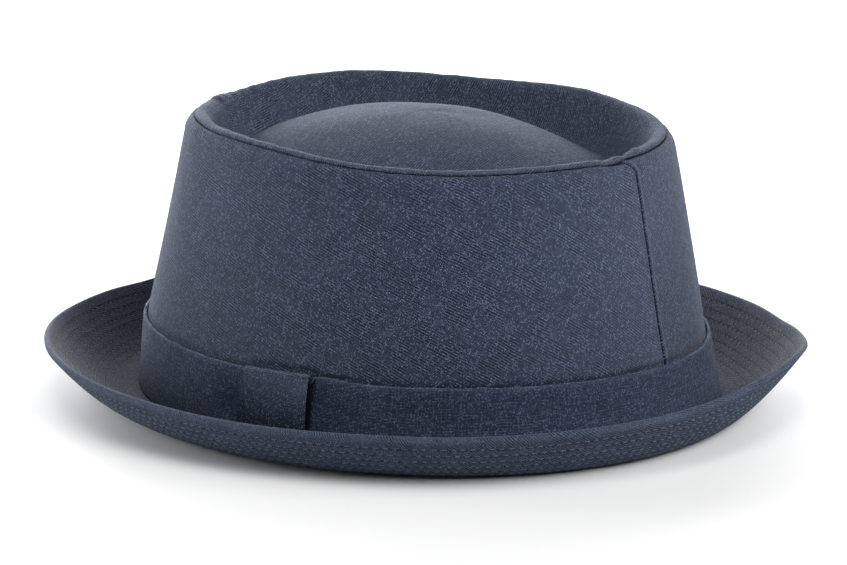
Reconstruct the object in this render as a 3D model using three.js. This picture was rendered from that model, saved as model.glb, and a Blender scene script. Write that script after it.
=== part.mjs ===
// A soft linen hat with a creased flat crown, a plain band with a small tab, and a brim turned up all round.
// Millimetres, +Z up. The origin is at the middle of the brim's outline, on the surface that it rests on.
// +X is the wearer's left, where the tab is, and -Y is the front.
// Angles go round the crown from the wearer's left: 90 degrees is the back and 270 the front.

import * as THREE from "three";

// Cloth
const clothWall = 1.6;
const brimThickness = 2.0;
const bandThickness = 1.3;
const tabThickness = 1.1;
const gap = 0.3;

// Steps round the hat
const stepsRound = 64;

// The seam up the back of the crown, in degrees and millimetres
const seamAngle = 85.5;
const seamHalfAngle = 0.5;
const seamDepth = 0.6;

// Ovals in plan: half their length along Y, half their width along X, and where their middle is on Y
const footOval = { halfLength: 99.3, halfWidth: 89.4, centreY: 2.15 };
const bandTopOval = { halfLength: 96.5, halfWidth: 85.5, centreY: 0.75 };
const shoulderOval = { halfLength: 84.3, halfWidth: 75.4, centreY: 1.95 };
const crestOval = { halfLength: 79.0, halfWidth: 71.4, centreY: 1.95 };
const moatOval = { halfLength: 67.0, halfWidth: 61.6, centreY: -1.65 };
const brimOval = { halfLength: 129.4, halfWidth: 120.4, centreY: -0.65 };

// Heights
const footHeight = brimThickness + gap;
const bandTopHeight = 24.9;
const crestHeight = 92.7;
const shoulderDrop = 7.0;
const moatHeight = 76.6;
const moatTilt = -2.0;
const domeRise = 17.9;
const domeRoundness = 2.22;
const domeTopY = -3.75;
const brimHeight = 17.9;
const brimFlat = 7.7;
const brimCurve = 1.79;

// Slow waves round the hat, as a sine and a cosine of so many turns.
// Those of a plan are shares of the radius, and the others are rises in millimetres.
const crestWaves = [
  { turns: 1, sine: -2.3, cosine: 0 },
  { turns: 2, sine: 0, cosine: 0.1 },
  { turns: 3, sine: -0.3, cosine: 0 },
];
const crestPlanWaves = [
  { turns: 2, sine: 0, cosine: 0.002 },
  { turns: 3, sine: 0.008, cosine: 0 },
];
const brimWaves = [
  { turns: 1, sine: 1.1, cosine: 0 },
  { turns: 2, sine: 0, cosine: -0.35 },
  { turns: 3, sine: -1.1, cosine: 0 },
];
const brimPlanWaves = [
  { turns: 3, sine: -0.005, cosine: 0 },
  { turns: 4, sine: 0, cosine: -0.002 },
];
const bandTopWaves = [
  { turns: 1, sine: -0.4, cosine: 0 },
  { turns: 2, sine: 0, cosine: 0.45 },
  { turns: 3, sine: 0, cosine: -0.4 },
];

// Dents and lifts of the two rims: where each is, how far it spreads to a side, and how high it stands
const crestDents = [
  { angle: 58, spread: 18, rise: 0.5 },
  { angle: 79, spread: 4, rise: -0.8 },
  { angle: 142, spread: 12, rise: 0.5 },
  { angle: 166, spread: 14, rise: 1.1 },
  { angle: 197, spread: 14, rise: -0.6 },
  { angle: 232, spread: 14, rise: 0.8 },
  { angle: 267, spread: 10, rise: -1.3 },
  { angle: 287, spread: 8, rise: -0.6 },
  { angle: 312, spread: 10, rise: 0.5 },
  { angle: 345, spread: 22, rise: 1.5 },
];
const brimDents = [
  { angle: 23, spread: 12, rise: 0.6 },
  { angle: 66, spread: 16, rise: -0.5 },
  { angle: 98, spread: 15, rise: 2.3 },
  { angle: 112, spread: 10, rise: 0.9 },
  { angle: 135, spread: 6, rise: -0.8 },
  { angle: 263, spread: 6, rise: -0.8 },
  { angle: 312, spread: 17, rise: 1.5 },
];

// Where the two rims reach further out or less far, and the shoulder's share of the crest's reach
const crestReaches = [
  { angle: 123, spread: 25, rise: 0.6 },
  { angle: 290, spread: 16, rise: -1.3 },
];
const shoulderReach = 0.7;
const brimReaches = [
  { angle: 112, spread: 12, rise: 0.9 },
  { angle: 305, spread: 12, rise: -1.0 },
];

// Where the turn-up of the brim is rounder or straighter
const brimCurveChanges = [
  { angle: 98, spread: 34, rise: -0.4 },
  { angle: 118, spread: 9, rise: -0.25 },
  { angle: 282, spread: 14, rise: 0.15 },
  { angle: 325, spread: 20, rise: -0.12 },
];

// The shoulder, where the side rounds over to the rim seam:
// share of the way from the crest line out to the shoulder, and drop below the crest
const shoulderRows = [
  { share: 1.0, drop: shoulderDrop },
  { share: 0.9, drop: 4.6 },
  { share: 0.68, drop: 2.7 },
  { share: 0.43, drop: 1.5 },
];

// The rolled edge of the tip, from the rim seam over the crest to the lip of the hollow.
// What lies inward of the crest is widened by lipWidth.
const edgeRows = [
  { outward: 1.35, drop: 0.9 },
  { outward: 1.0, drop: 0.4 },
  { outward: 0.2, drop: 0.05 },
  { outward: -1.2, drop: 0.1 },
  { outward: -2.5, drop: 0.9 },
  { outward: -3.4, drop: 2.6 },
];
const lipWidth = { sides: 1.0, front: 1.3, back: 1.15 };
const rollCentreDrop = 1.8;
const rollRowsBelow = 4;

// The way over the hollow: 0 at the lip, 1 at the bottom of the moat, 2 at the dome's top
const hollowWays = [0.22, 0.48, 0.74, 0.94, 1.05, 1.15, 1.3, 1.48, 1.66, 1.84];
const hollowWallCurve = 1.7;
const moatFillet = 3.0;

// The brim: shares of the way over its flat part, and of the way up its turned-up part
const brimFlatShares = [0, 0.75, 1];
const brimTurnShares = [0.16, 0.32, 0.48, 0.63, 0.77, 0.89, 1];
const brimEdgeRound = 0.7;
const bandEdgeRound = 0.4;

// The tab: its two edges on Y at the top and the foot, the heights of its top's two corners,
// and how far its rear edge stands off the band
const tabFrontY = { top: -10.0, foot: -7.4 };
const tabRearY = { top: 15.0, foot: 15.1 };
const tabTop = { front: 25.8, rear: 26.2 };
const tabLift = 3.0;
const tabLiftCurve = 2.2;
const tabFootLift = 0.55;
const tabFoldRise = 0.65;
const tabColumns = 7;
const tabRows = 6;
const tabLipLength = 1.3;

// The tab presses the band's top edge down between these angles
const pressed = { from: -7.9, to: 8.4, step: 1.0, depth: 1.0 };

// Waves and dents round the hat
function wavesAt(waves, angle) {
  let sum = 0;
  for (const wave of waves) {
    const turned = THREE.MathUtils.degToRad(angle * wave.turns);
    sum += wave.sine * Math.sin(turned) + wave.cosine * Math.cos(turned);
  }
  return sum;
}

function dentsAt(dents, angle) {
  let sum = 0;
  for (const dent of dents) {
    const away = THREE.MathUtils.euclideanModulo(angle - dent.angle + 180, 360) - 180;
    sum += dent.rise * Math.exp(-((away / dent.spread) ** 2));
  }
  return sum;
}

// A point of an oval, moved outward square to it, at a height
function ovalPoint(oval, angle, height, outward = 0, scale = 1) {
  const turned = THREE.MathUtils.degToRad(angle);
  const x = oval.halfWidth * scale * Math.cos(turned);
  const y = oval.centreY + oval.halfLength * scale * Math.sin(turned);
  return new THREE.Vector3(x, y, height).addScaledVector(outwardAt(angle), outward);
}

function outwardAt(angle) {
  const turned = THREE.MathUtils.degToRad(angle);
  return new THREE.Vector3(
    Math.cos(turned) / footOval.halfWidth,
    Math.sin(turned) / footOval.halfLength,
    0
  ).normalize();
}

// The same line of points moved square to itself, in the upright plane at that angle
function offsetLine(line, angle, distance) {
  const outward = outwardAt(angle);
  return line.map((point, index) => {
    const before = line[Math.max(index - 1, 0)];
    const after = line[Math.min(index + 1, line.length - 1)];
    const step = after.clone().sub(before);
    const along = new THREE.Vector2(step.dot(outward), step.z).normalize();
    const moved = point.clone().addScaledVector(outward, along.y * distance);
    moved.z -= along.x * distance;
    return moved;
  });
}

function roundAngles(extra = []) {
  const angles = extra.slice();
  for (let step = 0; step < stepsRound; step += 1) {
    angles.push((360 * step) / stepsRound);
  }
  return angles.sort((a, b) => a - b);
}

// A closed skin over sections that follow each other round the hat, each a closed line of points
function ringGeometry(sections) {
  const perSection = sections[0].length;
  const indices = [];
  for (let round = 0; round < sections.length; round += 1) {
    for (let across = 0; across < perSection; across += 1) {
      const here = round * perSection;
      const next = ((round + 1) % sections.length) * perSection;
      const beside = (across + 1) % perSection;
      indices.push(here + across, next + across, next + beside);
      indices.push(here + across, next + beside, here + beside);
    }
  }
  return geometryFrom(sections.flat(), indices);
}

// A skin over lines that all run to a pole at each end
function capGeometry(lines, firstPole, lastPole) {
  const perLine = lines[0].length;
  const indices = [];
  const firstPoleIndex = lines.length * perLine;
  const lastPoleIndex = firstPoleIndex + 1;
  for (let round = 0; round < lines.length; round += 1) {
    const here = round * perLine;
    const next = ((round + 1) % lines.length) * perLine;
    indices.push(firstPoleIndex, next, here);
    for (let along = 0; along < perLine - 1; along += 1) {
      indices.push(here + along, next + along, next + along + 1);
      indices.push(here + along, next + along + 1, here + along + 1);
    }
    indices.push(here + perLine - 1, next + perLine - 1, lastPoleIndex);
  }
  return geometryFrom([...lines.flat(), firstPole, lastPole], indices);
}

// A closed skin over a plate: an outer and an inner line for each column, with its two ends closed
function plateGeometry(outerLines, innerLines) {
  const perLine = outerLines[0].length;
  const sections = outerLines.map((line, index) => [...line, ...innerLines[index].slice().reverse()]);
  const perSection = perLine * 2;
  const indices = [];
  for (let column = 0; column < sections.length - 1; column += 1) {
    for (let across = 0; across < perSection; across += 1) {
      const here = column * perSection;
      const next = here + perSection;
      const beside = (across + 1) % perSection;
      indices.push(here + across, next + across, next + beside);
      indices.push(here + across, next + beside, here + beside);
    }
  }
  const last = (sections.length - 1) * perSection;
  for (let row = 0; row < perLine - 1; row += 1) {
    const opposite = perSection - 1 - row;
    indices.push(row, row + 1, opposite);
    indices.push(row + 1, opposite - 1, opposite);
    indices.push(last + row, last + opposite, last + row + 1);
    indices.push(last + row + 1, last + opposite, last + opposite - 1);
  }
  return geometryFrom(sections.flat(), indices);
}

function geometryFrom(points, indices) {
  const geometry = new THREE.BufferGeometry().setFromPoints(points);
  geometry.setIndex(indices);
  geometry.computeVertexNormals();
  return geometry;
}

// The crest line, the highest line of the rim
function crestPoint(angle, outward = 0, drop = 0) {
  const height = crestHeight + wavesAt(crestWaves, angle) + dentsAt(crestDents, angle);
  const scale = 1 + wavesAt(crestPlanWaves, angle);
  const reach = outward + dentsAt(crestReaches, angle);
  return ovalPoint(crestOval, angle, height - drop, reach, scale);
}

function bandTopAt(angle) {
  const turned = THREE.MathUtils.euclideanModulo(angle + 180, 360) - 180;
  const entering = THREE.MathUtils.smoothstep(turned, pressed.from, pressed.from + pressed.step);
  const leaving = 1 - THREE.MathUtils.smoothstep(turned, pressed.to - pressed.step, pressed.to);
  return bandTopHeight + wavesAt(bandTopWaves, angle) - pressed.depth * entering * leaving;
}

// The outer face of the crown's side, from its foot to the rim seam
function crownSideLine(angle) {
  const crest = crestPoint(angle);
  const scale = 1 + wavesAt(crestPlanWaves, angle);
  const reach = dentsAt(crestReaches, angle) * shoulderReach;
  const shoulder = ovalPoint(shoulderOval, angle, crest.z - shoulderDrop, reach, scale);
  const bandTop = ovalPoint(bandTopOval, angle, bandTopHeight);
  const line = [ovalPoint(footOval, angle, footHeight), bandTop, bandTop.clone().lerp(shoulder, 0.5)];
  for (const row of shoulderRows) {
    const point = crest.clone().lerp(shoulder, row.share);
    point.z = crest.z - row.drop;
    line.push(point);
  }
  return line;
}

function crownFacePoint(angle, height) {
  const line = crownSideLine(angle);
  const bandTop = line[1];
  return line[0].clone().lerp(bandTop, (height - footHeight) / (bandTop.z - footHeight));
}

function makeCrownSide() {
  const seamAngles = [seamAngle - seamHalfAngle, seamAngle, seamAngle + seamHalfAngle];
  const sections = roundAngles(seamAngles).map((angle) => {
    const outer = crownSideLine(angle);
    const inner = offsetLine(outer, angle, -clothWall);
    inner[0].z = footHeight;
    if (angle === seamAngle) {
      const sunk = offsetLine(outer, angle, -seamDepth);
      sunk[0].z = footHeight;
      return [...sunk, ...inner.reverse()];
    }
    return [...outer, ...inner.reverse()];
  });
  return ringGeometry(sections);
}

// The top of the tip: the rolled edge, the wall of the hollow, the moat and the dome
function lipWidthAt(angle) {
  const lengthwise = Math.sin(THREE.MathUtils.degToRad(angle));
  const end = lengthwise > 0 ? lipWidth.back : lipWidth.front;
  return THREE.MathUtils.lerp(lipWidth.sides, end, lengthwise ** 2);
}

function smoothHigher(first, second, fillet) {
  const nearness = Math.max(fillet - Math.abs(first - second), 0) / fillet;
  return Math.max(first, second) + (nearness ** 2 * fillet) / 4;
}

function hollowPoint(angle, way, lip) {
  const turned = Math.sin(THREE.MathUtils.degToRad(angle));
  const moatFloor = moatHeight + moatTilt * turned;
  const moat = ovalPoint(moatOval, angle, moatFloor);
  const top = new THREE.Vector3(0, domeTopY, moatHeight + domeRise);
  const point = way < 1 ? lip.clone().lerp(moat, way) : moat.clone().lerp(top, way - 1);
  const outward = 2 - way;
  const dome = moatHeight + domeRise * (1 - outward ** domeRoundness) + moatTilt * turned * outward;
  const wall = moatFloor + (lip.z - moatFloor) * Math.max(1 - way, 0) ** hollowWallCurve;
  point.z = smoothHigher(wall, dome, moatFillet);
  return point;
}

function tipTopLine(angle) {
  const width = lipWidthAt(angle);
  const line = edgeRows.map((row) =>
    crestPoint(angle, row.outward < 0 ? row.outward * width : row.outward, row.drop)
  );
  const lip = line[line.length - 1];
  for (const way of hollowWays) {
    line.push(hollowPoint(angle, way, lip));
  }
  return line;
}

function makeCrownTip() {
  const lines = roundAngles().map((angle) => {
    const top = tipTopLine(angle);
    const below = offsetLine(top, angle, -clothWall);
    const rollCentre = crestPoint(angle, 0, rollCentreDrop);
    return [...below.slice(rollRowsBelow).reverse(), rollCentre, ...top];
  });
  const topPole = new THREE.Vector3(0, domeTopY, moatHeight + domeRise);
  const belowPole = topPole.clone().setZ(topPole.z - clothWall);
  return capGeometry(lines, belowPole, topPole);
}

function makeBand() {
  const { from, to, step } = pressed;
  const sections = roundAngles([from, from + step, to - step, to]).map((angle) => {
    const top = bandTopAt(angle);
    const heights = [footHeight, (footHeight + top) / 2, top - bandEdgeRound];
    const bandLine = (away) =>
      heights.map((height) => crownFacePoint(angle, height).addScaledVector(outwardAt(angle), away));
    const inner = bandLine(gap);
    const outer = bandLine(gap + bandThickness);
    const edge = inner[2].clone().lerp(outer[2], 0.5).setZ(top);
    return [...outer, edge, ...inner.reverse()];
  });
  return ringGeometry(sections);
}

// The tab goes up over the band and ends in a short lip over the band's top edge
function tabPoint(across, up, away) {
  const front = THREE.MathUtils.lerp(tabFrontY.foot, tabFrontY.top, up);
  const rear = THREE.MathUtils.lerp(tabRearY.foot, tabRearY.top, up);
  const y = THREE.MathUtils.lerp(front, rear, across);
  const angle = THREE.MathUtils.radToDeg(Math.asin((y - footOval.centreY) / footOval.halfLength));
  const top = THREE.MathUtils.lerp(tabTop.front, tabTop.rear, across) - tabThickness;
  const height = THREE.MathUtils.lerp(footHeight + gap, top, up);
  const arch = Math.sin(Math.PI * up);
  const bow = up < 0.5 ? THREE.MathUtils.lerp(tabFootLift, 1, arch) : arch;
  const lift = tabLift * across ** tabLiftCurve * bow;
  const standOff = gap + bandThickness + gap + lift + away;
  return crownFacePoint(angle, height).addScaledVector(outwardAt(angle), standOff);
}

function makeTab() {
  const outerLines = [];
  const innerLines = [];
  for (let column = 0; column <= tabColumns; column += 1) {
    const outer = [];
    const inner = [];
    for (let row = 0; row <= tabRows; row += 1) {
      outer.push(tabPoint(column / tabColumns, row / tabRows, tabThickness));
      inner.push(tabPoint(column / tabColumns, row / tabRows, 0));
    }
    const outerLip = tabPoint(column / tabColumns, 1, -tabLipLength);
    const innerLip = outerLip.clone();
    outer[tabRows].z += tabFoldRise;
    outerLip.z += tabThickness;
    outer.push(outerLip);
    inner.push(innerLip);
    outerLines.push(outer);
    innerLines.push(inner);
  }
  return plateGeometry(outerLines, innerLines);
}

// The brim: flat next to the crown, then turned up to its rim
function brimRimPoint(angle) {
  const height = brimHeight + wavesAt(brimWaves, angle) + dentsAt(brimDents, angle);
  const scale = 1 + wavesAt(brimPlanWaves, angle);
  return ovalPoint(brimOval, angle, height, dentsAt(brimReaches, angle), scale);
}

function makeBrim() {
  const sections = roundAngles().map((angle) => {
    const rim = brimRimPoint(angle);
    const innerEdge = ovalPoint(footOval, angle, brimThickness / 2, -clothWall);
    const flatEdge = ovalPoint(footOval, angle, brimThickness / 2, brimFlat);
    const curve = brimCurve + dentsAt(brimCurveChanges, angle);
    const flat = brimFlatShares.map((share) => innerEdge.clone().lerp(flatEdge, share));
    const turned = brimTurnShares.map((share) => {
      const point = flatEdge.clone().lerp(rim, share);
      point.z = THREE.MathUtils.lerp(flatEdge.z, rim.z, share ** curve);
      return point;
    });
    const middle = [...flat, ...turned];
    const under = offsetLine(middle, angle, brimThickness / 2);
    const upper = offsetLine(middle, angle, -brimThickness / 2);
    const end = middle.length - 1;
    const along = middle[end].clone().sub(middle[end - 1]).normalize();
    const edge = middle[end].clone().addScaledVector(along, brimEdgeRound);
    return [...under, edge, ...upper.reverse()];
  });
  return ringGeometry(sections);
}

// Colours of the linen in soft daylight
const linen = {
  crown_side: new THREE.MeshStandardMaterial({ color: 0x3c485f, roughness: 0.9, metalness: 0 }),
  crown_tip: new THREE.MeshStandardMaterial({ color: 0x444d60, roughness: 0.9, metalness: 0 }),
  hat_band: new THREE.MeshStandardMaterial({ color: 0x333f54, roughness: 0.92, metalness: 0 }),
  band_tab: new THREE.MeshStandardMaterial({ color: 0x354156, roughness: 0.92, metalness: 0 }),
  brim: new THREE.MeshStandardMaterial({ color: 0x46556e, roughness: 0.9, metalness: 0 }),
};

const makers = {
  crown_side: makeCrownSide,
  crown_tip: makeCrownTip,
  hat_band: makeBand,
  band_tab: makeTab,
  brim: makeBrim,
};

const hat = new THREE.Group();
for (const [name, make] of Object.entries(makers)) {
  const mesh = new THREE.Mesh(make(), linen[name]);
  mesh.name = name;
  hat.add(mesh);
}

export default hat;
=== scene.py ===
import bmesh
import bpy
import numpy as np
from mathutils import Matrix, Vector


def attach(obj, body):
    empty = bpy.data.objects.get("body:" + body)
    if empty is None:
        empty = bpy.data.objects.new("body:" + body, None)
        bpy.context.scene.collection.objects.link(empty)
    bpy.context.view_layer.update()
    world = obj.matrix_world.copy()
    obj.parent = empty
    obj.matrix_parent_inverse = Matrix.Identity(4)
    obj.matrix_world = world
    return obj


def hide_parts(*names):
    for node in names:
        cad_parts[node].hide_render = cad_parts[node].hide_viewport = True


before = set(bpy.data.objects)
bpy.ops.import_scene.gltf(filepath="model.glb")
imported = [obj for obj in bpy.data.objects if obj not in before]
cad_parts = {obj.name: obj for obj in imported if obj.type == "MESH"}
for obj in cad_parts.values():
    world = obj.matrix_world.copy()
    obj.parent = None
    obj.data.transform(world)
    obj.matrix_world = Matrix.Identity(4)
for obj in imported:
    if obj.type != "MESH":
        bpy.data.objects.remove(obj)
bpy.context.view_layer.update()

print("frame loaded:", len(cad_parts), "cloth pieces")

# Sizes are in millimetres until a mesh is made.
# Angles go round the crown from the wearer's left: 90 degrees is the back and 270 the front.
toMetres = 0.001

hat = {
    "foot": {"halfLength": 99.3, "halfWidth": 89.4, "centreY": 2.15},
    "bandTop": {"halfLength": 96.5, "halfWidth": 85.5, "centreY": 0.75},
    "shoulder": {"halfLength": 84.3, "halfWidth": 75.4, "centreY": 1.95},
    "crest": {"halfLength": 79.0, "halfWidth": 71.4, "centreY": 1.95},
    "moat": {"halfLength": 67.0, "halfWidth": 61.6, "centreY": -1.65},
    "rim": {"halfLength": 129.4, "halfWidth": 120.4, "centreY": -0.65},
    "footHeight": 2.3,
    "bandTopHeight": 24.9,
    "crestHeight": 92.7,
    "shoulderReach": 0.7,
    "clothWall": 1.6,
    "gap": 0.3,
}

# Slow waves round the hat: turns, sine, cosine
crestWaves = [(1, -2.3, 0), (2, 0, 0.1), (3, -0.3, 0)]
crestPlanWaves = [(2, 0, 0.002), (3, 0.008, 0)]
rimWaves = [(1, 1.1, 0), (2, 0, -0.35), (3, -1.1, 0)]
rimPlanWaves = [(3, -0.005, 0), (4, 0, -0.002)]
bandTopWaves = [(1, -0.4, 0), (2, 0, 0.45), (3, 0, -0.4)]
bandTopDents = [(9.5, 6, 1.0)]

# Dents and lifts: angle, spread to a side, rise
crestDents = [
    (142, 12, 0.5),
    (166, 14, 1.1),
    (197, 14, -0.6),
    (232, 14, 0.8),
    (267, 10, -1.3),
    (287, 8, -0.6),
    (312, 10, 0.5),
    (345, 22, 1.5),
    (58, 18, 0.5),
    (79, 4, -0.8),
]
rimDents = [
    (23, 12, 0.6),
    (66, 16, -0.5),
    (98, 15, 2.3),
    (112, 10, 0.9),
    (135, 6, -0.8),
    (263, 6, -0.8),
    (312, 17, 1.5),
]
rimReaches = [(112, 12, 0.9), (305, 12, -1.0)]
crestReaches = [(123, 25, 0.6), (290, 16, -1.3)]
brimCurveChanges = [(98, 34, -0.4), (118, 9, -0.25), (282, 14, 0.15), (325, 20, -0.12)]


def wavesAt(waves, angle):
    turned = np.radians(angle)
    return sum(s * np.sin(n * turned) + c * np.cos(n * turned) for n, s, c in waves)


def dentsAt(dents, angle):
    total = np.zeros_like(angle, dtype=float)
    for at, spread, rise in dents:
        away = (angle - at + 180) % 360 - 180
        total = total + rise * bell(away, spread)
    return total


# A bell curve: 1 at its place, falling off over its spread
def bell(value, spread, at=0.0):
    return np.exp(-(((value - at) / spread) ** 2))


def outwardAt(angle):
    turned = np.radians(angle)
    x = np.cos(turned) / hat["foot"]["halfWidth"]
    y = np.sin(turned) / hat["foot"]["halfLength"]
    length = np.hypot(x, y)
    return np.stack([x / length, y / length, np.zeros_like(x)], -1)


def ovalPoint(oval, angle, height, outward=0.0, scale=1.0):
    turned = np.radians(angle)
    x = oval["halfWidth"] * scale * np.cos(turned)
    y = oval["centreY"] + oval["halfLength"] * scale * np.sin(turned)
    z = np.zeros_like(x) + height
    reach = np.asarray(outward, float)[..., None]
    return np.stack([x, y, z], -1) + outwardAt(angle) * reach


def blendPoints(first, second, share):
    return first + (second - first) * share


def smoothStep(value, low, high):
    t = np.clip((value - low) / (high - low), 0, 1)
    return t * t * (3 - 2 * t)


# Uneven cloth: waves of whole turns, so that they close round the hat
def unevenAt(angle, seed, slowest, fastest):
    chance = np.random.default_rng(seed)
    turns = np.arange(slowest, fastest + 1)
    starts = chance.uniform(0, 2 * np.pi, turns.size)
    strengths = chance.uniform(0.4, 1, turns.size)
    waves = np.sin(np.radians(angle)[..., None] * turns + starts) * strengths
    return waves.sum(-1) / np.sqrt((strengths**2).sum())


# The same over a surface, with angle and height
def unevenOver(angle, height, seed, waves, fastestTurns, shortest):
    chance = np.random.default_rng(seed)
    total = np.zeros(np.broadcast(angle, height).shape)
    for _ in range(waves):
        turns = chance.integers(2, fastestTurns + 1)
        rise = chance.uniform(-2 * np.pi, 2 * np.pi) / shortest
        start = chance.uniform(0, 2 * np.pi)
        total = total + np.sin(np.radians(angle) * turns + height * rise + start)
    return total / np.sqrt(waves)


# A smooth surface through rows of points, at places between their knots
def throughRows(rows, knots, at):
    rows, knots, at = np.asarray(rows), np.asarray(knots, float), np.asarray(at, float)
    gaps = np.diff(knots)
    slopes = np.diff(rows, axis=0) / gaps[:, None, None]
    tangents = np.empty_like(rows)
    tangents[0], tangents[-1] = slopes[0], slopes[-1]
    share = (gaps[:-1] / (gaps[:-1] + gaps[1:]))[:, None, None]
    tangents[1:-1] = slopes[:-1] * (1 - share) + slopes[1:] * share
    index = np.clip(np.searchsorted(knots, at, side="right") - 1, 0, len(gaps) - 1)
    t = ((at - knots[index]) / gaps[index])[:, None, None]
    width = gaps[index][:, None, None]
    return (
        rows[index] * (2 * t**3 - 3 * t**2 + 1)
        + tangents[index] * width * (t**3 - 2 * t**2 + t)
        + rows[index + 1] * (3 * t**2 - 2 * t**3)
        + tangents[index + 1] * width * (t**3 - t**2)
    )


def chordKnots(rows):
    steps = np.linalg.norm(np.diff(rows, axis=0), axis=-1).mean(-1)
    return np.concatenate([[0], np.cumsum(steps)])


# Normals of a sheet of rows, each of which goes round the hat
def sheetNormals(rows, closed=True):
    if closed:
        around = np.roll(rows, -1, axis=1) - np.roll(rows, 1, axis=1)
    else:
        around = np.gradient(rows, axis=1)
    across = np.gradient(rows, axis=0)
    normals = np.cross(around, across)
    return normals / np.linalg.norm(normals, axis=-1, keepdims=True)


def lengthsAlong(rows):
    steps = np.linalg.norm(np.diff(rows, axis=0), axis=-1)
    return np.concatenate([np.zeros((1, rows.shape[1])), np.cumsum(steps, axis=0)])


# A rounded edge from one face of the cloth to the other, over so many rows
def roundedEdge(first, second, along, bulge, steps):
    middle, half = (first + second) / 2, (first - second) / 2
    turns = np.linspace(0, np.pi, steps + 2)[1:-1]
    return [middle + half * np.cos(turn) + along * bulge * np.sin(turn) for turn in turns]


def writeAttribute(mesh, name, values):
    attribute = mesh.attributes.new(name, "FLOAT", "POINT")
    attribute.data.foreach_set("value", values)


def addPiece(name, mesh):
    piece = bpy.data.objects.new(name, mesh)
    bpy.context.scene.collection.objects.link(piece)
    print(name, len(mesh.polygons), "faces")
    return piece


# Makes the piece: rows go round the hat or along the piece, and cloth holds flat millimetres
def makeCloth(name, rows, cloth, paintedShade, material, ring=False, poles=None, other=None):
    count, around = rows.shape[:2]
    vertices = (rows.reshape(-1, 3) * toMetres).tolist()
    paintedShades = paintedShade.reshape(-1).tolist()
    here = np.arange(count * around).reshape(count, around)
    lower, upper = here, np.roll(here, -1, axis=0)
    lowerCloth, upperCloth = cloth, np.roll(cloth, -1, axis=0)
    if not ring:
        lower, upper = lower[:-1], upper[:-1]
        lowerCloth, upperCloth = lowerCloth[:-1], upperCloth[:-1]
    corners = [lower, np.roll(lower, -1, axis=1), np.roll(upper, -1, axis=1), upper]
    faces = np.stack(corners, -1).reshape(-1, 4)
    flat = [lowerCloth[:, :-1], lowerCloth[:, 1:], upperCloth[:, 1:], upperCloth[:, :-1]]
    corner = np.stack(flat, -2).reshape(-1, 4, 2)
    faces, flatCorners = faces.tolist(), [corner.reshape(-1, 2)]
    for pole, row, turned in poles or []:
        top = len(vertices)
        vertices.append((pole * toMetres).tolist())
        paintedShades.append(0.0)
        first, second = here[row], np.roll(here[row], -1)
        middle = cloth[row, :-1].mean(0)
        for step in range(around):
            pair = (second[step], first[step]) if turned else (first[step], second[step])
            faces.append([top, int(pair[0]), int(pair[1])])
        pairs = (cloth[row, 1:], cloth[row, :-1]) if turned else (cloth[row, :-1], cloth[row, 1:])
        middles = np.broadcast_to(middle, pairs[0].shape)
        flatCorners.append(np.stack([middles, *pairs], 1).reshape(-1, 2))
    mesh = bpy.data.meshes.new(name)
    mesh.from_pydata(vertices, [], faces)
    layer = mesh.uv_layers.new(name="cloth")
    layer.uv.foreach_set("vector", np.concatenate(flatCorners).astype(np.float32).ravel())
    # Painted shade and painted highlight, one value at each point
    writeAttribute(mesh, "paintedShade", paintedShades)
    # Painted sheen: where this is set, a second colour is laid on
    if other is not None:
        writeAttribute(mesh, "other", other.reshape(-1).tolist())
    mesh.shade_smooth()
    mesh.materials.append(material)
    return addPiece(name, mesh)


def finishPiece(piece, node):
    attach(piece, "root")
    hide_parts(node)


# Linen


class Weaver:
    # Adds nodes to a tree and joins them as they come
    def __init__(self, tree):
        self.nodes = tree.nodes
        self.links = tree.links
        self.nodes.clear()

    def add(self, kind, settings=None, inputs=None):
        node = self.nodes.new(kind)
        for key, value in (settings or {}).items():
            setattr(node, key, value)
        for key, value in (inputs or {}).items():
            self.put(node.inputs[key], value)
        return node

    def put(self, socket, value):
        if isinstance(value, bpy.types.NodeSocket):
            self.links.new(value, socket)
        else:
            socket.default_value = value

    def math(self, operation, first, second=0.0):
        made = self.add("ShaderNodeMath", {"operation": operation}, {0: first, 1: second})
        return made.outputs[0]

    def vector(self, operation, first, second=None, scale=None):
        inputs = {0: first}
        if second is not None:
            inputs[1] = second
        if scale is not None:
            inputs["Scale"] = scale
        return self.add("ShaderNodeVectorMath", {"operation": operation}, inputs).outputs[0]

    def shine(self, inputs):
        shader = self.add("ShaderNodeBsdfPrincipled", None, inputs)
        self.put(self.add("ShaderNodeOutputMaterial").inputs[0], shader.outputs[0])

    def join(self, x, y, z=0.0):
        return self.add("ShaderNodeCombineXYZ", None, {0: x, 1: y, 2: z}).outputs[0]

    def noise(self, place, scale, detail=1.0, rough=0.5):
        inputs = {"Vector": place, "Scale": scale, "Detail": detail, "Roughness": rough}
        return self.add("ShaderNodeTexNoise", {"noise_dimensions": "3D"}, inputs)

    def range(self, value, low, high, toLow=0.0, toHigh=1.0):
        inputs = {"Value": value, 1: low, 2: high, 3: toLow, 4: toHigh}
        settings = {"interpolation_type": "SMOOTHSTEP"}
        return self.add("ShaderNodeMapRange", settings, inputs).outputs[0]

    def mix(self, share, first, second):
        made = self.add("ShaderNodeMix", {"data_type": "FLOAT"}, {0: share, 2: first, 3: second})
        return made.outputs[0]

    def mixColour(self, share, first, second):
        made = self.add("ShaderNodeMix", {"data_type": "RGBA"}, {0: share, 6: first, 7: second})
        return made.outputs[2]


def newMaterial(name):
    material = bpy.data.materials.new(name)
    material.use_nodes = True
    return material, Weaver(material.node_tree)


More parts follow.
